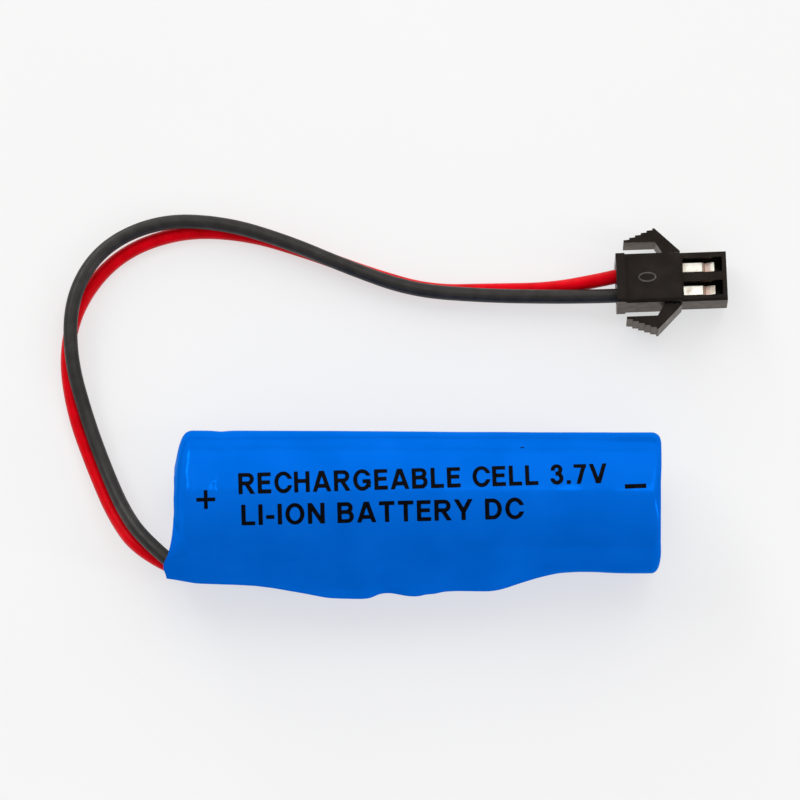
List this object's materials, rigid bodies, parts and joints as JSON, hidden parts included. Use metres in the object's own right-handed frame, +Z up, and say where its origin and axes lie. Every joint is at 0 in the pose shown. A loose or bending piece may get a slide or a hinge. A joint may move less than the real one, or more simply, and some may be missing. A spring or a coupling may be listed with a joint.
{
  "type": "cylindrical battery cell pack with wired plug",
  "caption": "Slim cylindrical rechargeable cell in a blue shrink sleeve, with a protection board bulging from its side and two thin wires ending in a latching plug.",
  "frame": {"origin": "under the middle of the sleeved pack, on the surface it lies on; the wires and the plug are not counted", "axes": "+X along the cell towards its negative end, +Z up, -Y the side where the board bulges, +Y the side where the wires and plug lie"},
  "size_m": [0.0705, 0.0425, 0.0146],
  "materials": {
    "steel": "nickel-plated steel, satin",
    "gasket_plastic": "matt",
    "cap_aluminium": "satin",
    "switch_polymer": "matt",
    "separator": "matt, thin microporous film",
    "cathode": "coated foil, matt dark grey",
    "anode": "coated copper foil, matt",
    "tape": "satin, thin polyimide tape",
    "nickel": "satin nickel",
    "paper": "matt insulating paper",
    "inner_wrap": "glossy thin film",
    "board_green": "satin solder mask on glass-epoxy",
    "chip_black": "matt",
    "ceramic": "satin ceramic",
    "black_insulation": "satin",
    "red_insulation": "satin",
    "copper": "bright tinned copper",
    "solder": "bright",
    "plug_black": "satin nylon",
    "tinned_contact": "bright tin",
    "blue_film": "glossy shrink film"
  },
  "bodies": {
    "pack": {"can": "steel", "gasket": "gasket_plastic", "interrupt_plate": "cap_aluminium", "interrupt_ring": "gasket_plastic", "vent_disc": "cap_aluminium", "heat_switch_ring": "switch_polymer", "positive_cap": "steel", "separator_inner": "separator", "cathode_foil": "cathode", "separator_outer": "separator", "anode_foil": "anode", "winding_tape": "tape", "positive_tab": "cap_aluminium", "negative_tab": "nickel", "top_insulator": "paper", "bottom_insulator": "paper", "positive_washer": "paper", "cell_wrap": "inner_wrap", "strip_tape": "tape", "positive_strip": "nickel", "negative_strip": "nickel", "board_pad": "paper", "protection_board": "board_green", "protection_chip": "chip_black", "switch_chip": "chip_black", "chip_capacitor": "ceramic", "chip_resistors": "chip_black", "black_wire_inner": "black_insulation", "red_wire_inner": "red_insulation", "black_wire": "black_insulation", "red_wire": "red_insulation", "board_core_ends": "copper", "solder_joints": "solder", "plug_housing": "plug_black", "contact_black": "tinned_contact", "contact_red": "tinned_contact", "plug_core_ends": "copper", "positive_paper": "paper", "negative_paper": "paper", "shrink_sleeve": "blue_film"},
    "lever_left": {"latch_lever_left": "plug_black"},
    "lever_right": {"latch_lever_right": "plug_black"}
  },
  "joints": [
    {"name": "left_lever_squeeze", "type": "hinge", "parent": "pack", "child": "lever_left", "pos_m": [0.0268, 0.02925, 0.003], "axis": [0, 0, 1], "range_deg": [0, 14], "stiffness_Nm_per_rad": 0.04},
    {"name": "right_lever_squeeze", "type": "hinge", "parent": "pack", "child": "lever_right", "pos_m": [0.02703, 0.02335, 0.003], "axis": [0, 0, -1], "range_deg": [0, 14], "stiffness_Nm_per_rad": 0.04}
  ]
}
